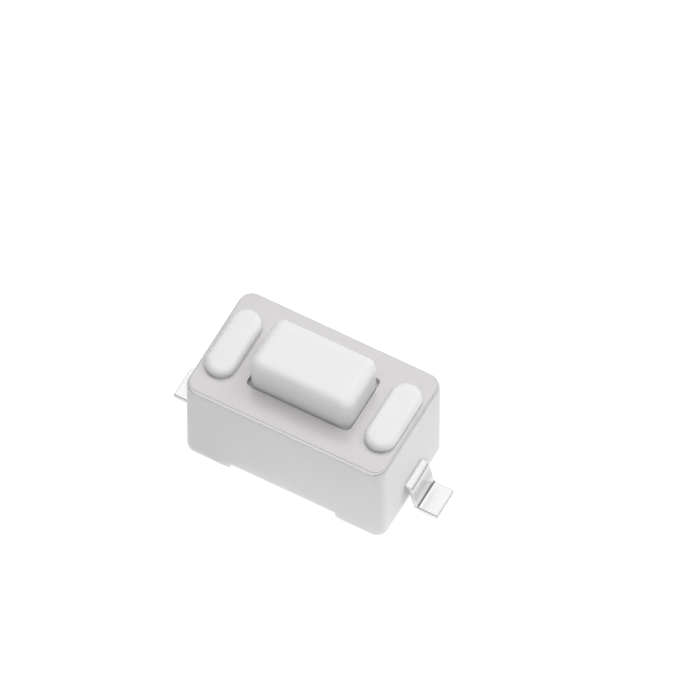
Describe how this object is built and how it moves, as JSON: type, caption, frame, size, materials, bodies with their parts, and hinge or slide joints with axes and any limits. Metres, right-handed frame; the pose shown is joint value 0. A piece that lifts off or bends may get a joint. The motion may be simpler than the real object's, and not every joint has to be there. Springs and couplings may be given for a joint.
{
  "type": "tactile pushbutton switch",
  "caption": "Surface-mount momentary pushbutton: low rectangular moulded housing, long rounded button through a thin riveted steel cover, and a bent solder lead at each end.",
  "frame": {"origin": "on the board plane, under the middle of the housing", "axes": "+X along the housing from one terminal to the other, +Y across it, +Z out of the button"},
  "size_m": [0.008, 0.0036, 0.0043],
  "materials": {
    "housing_plastic": "white heat-resistant nylon, as moulded",
    "button_plastic": "white nylon, as moulded",
    "cover_steel": "cold-rolled stainless steel, matte",
    "dome_steel": "hard-rolled stainless steel",
    "plated_brass": "brass strip with bright silver-coloured plating"
  },
  "bodies": {
    "switch_base": {"housing": "housing_plastic", "cover_plate": "cover_steel", "terminal_centre": "plated_brass", "terminal_rim": "plated_brass", "contact_dome": "dome_steel"},
    "button": {"button": "button_plastic"}
  },
  "joints": [
    {"name": "button_press", "type": "slide", "parent": "switch_base", "child": "button", "axis": [0, 0, -1], "range_m": [0, 0.00025], "stiffness_N_per_m": 7200, "deforming": ["contact_dome"]}
  ]
}
